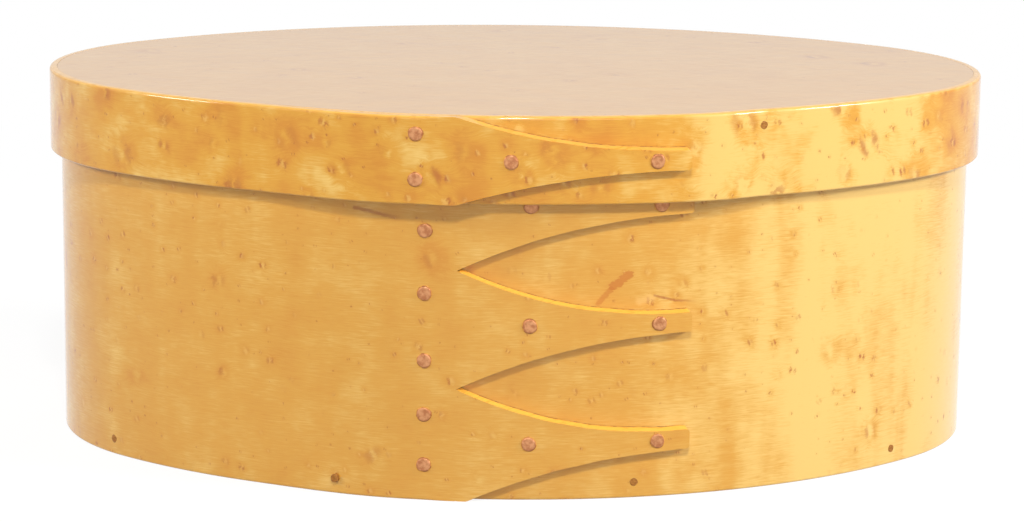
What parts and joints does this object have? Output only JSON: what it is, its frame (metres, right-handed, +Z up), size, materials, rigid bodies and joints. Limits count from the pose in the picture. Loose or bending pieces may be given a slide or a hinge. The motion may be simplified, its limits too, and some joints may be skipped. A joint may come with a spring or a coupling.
{
  "type": "oval bentwood box",
  "caption": "Oval bentwood box with a lift-off lid, swallowtail lapped bands, copper tacks and pegged boards.",
  "frame": {"origin": "middle of the flat underside, at the centre of the plain oval of the box band", "axes": "+X along the length, towards the way the fingers point; +Y to the back, so that the laps face -Y; +Z up"},
  "size_m": [0.2304, 0.1696, 0.0895],
  "materials": {
    "band_wood": "bird's-eye maple, gloss varnish",
    "board_wood": "pale maple, gloss varnish",
    "copper": "hammered copper",
    "peg_wood": "end grain, varnished"
  },
  "bodies": {
    "box": {"main_band": "band_wood", "bottom_board": "board_wood", "box_tack_1": "copper", "box_tack_2": "copper", "box_tack_3": "copper", "box_tack_4": "copper", "box_tack_5": "copper", "box_tack_6": "copper", "box_tack_7": "copper", "box_tack_8": "copper", "box_tack_9": "copper", "box_tack_10": "copper", "box_tack_11": "copper", "box_tack_12": "copper", "bottom_peg_1": "peg_wood", "bottom_peg_2": "peg_wood", "bottom_peg_3": "peg_wood", "bottom_peg_4": "peg_wood", "bottom_peg_5": "peg_wood", "bottom_peg_6": "peg_wood", "bottom_peg_7": "peg_wood", "bottom_peg_8": "peg_wood", "bottom_peg_9": "peg_wood"},
    "lid": {"lid_band": "band_wood", "lid_board": "board_wood", "lid_tack_1": "copper", "lid_tack_2": "copper", "lid_tack_3": "copper", "lid_tack_4": "copper", "lid_peg_1": "peg_wood", "lid_peg_2": "peg_wood", "lid_peg_3": "peg_wood", "lid_peg_4": "peg_wood", "lid_peg_5": "peg_wood", "lid_peg_6": "peg_wood"}
  },
  "joints": [
    {"name": "lid_lift", "type": "slide", "parent": "box", "child": "lid", "axis": [0, 0, 1], "range_m": [0, 0.04]}
  ]
}
